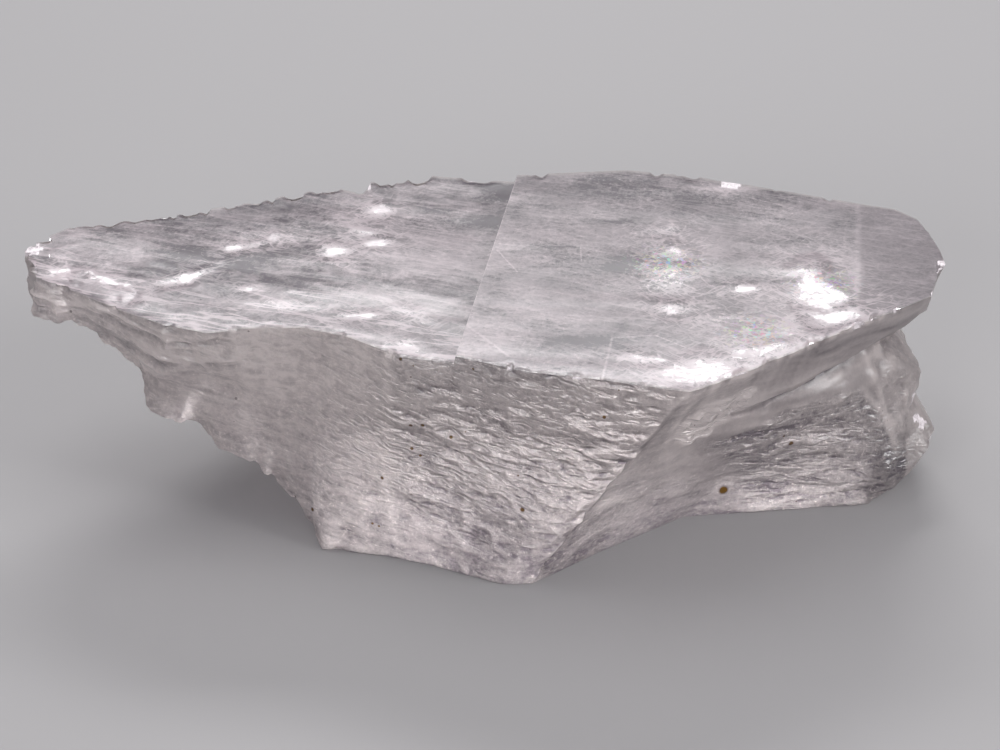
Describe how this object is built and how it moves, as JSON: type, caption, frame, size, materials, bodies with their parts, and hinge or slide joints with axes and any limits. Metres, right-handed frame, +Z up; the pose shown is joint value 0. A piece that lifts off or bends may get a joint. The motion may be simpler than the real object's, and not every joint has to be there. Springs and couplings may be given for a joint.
{
  "type": "selenite crystal blade",
  "caption": "Cleaved blade of clear to milky selenite with a flat top, slanting etched walls, a thin overhanging tip and a lobed end; a display mineral.",
  "frame": {"origin": "centre of the bounding box's bottom face, on the lower cleavage face that the crystal lies on", "axes": "+X along the blade from the thin left tip to the lobed end, +Y from the front walls to the back ones, +Z up, square to the cleavage faces"},
  "size_m": [0.0982, 0.0426, 0.027],
  "materials": {
    "selenite": "clear to milky gypsum: glossy cleavage faces, frosted and etched walls"
  },
  "bodies": {
    "root": {"selenite_crystal": "selenite"}
  },
  "joints": []
}
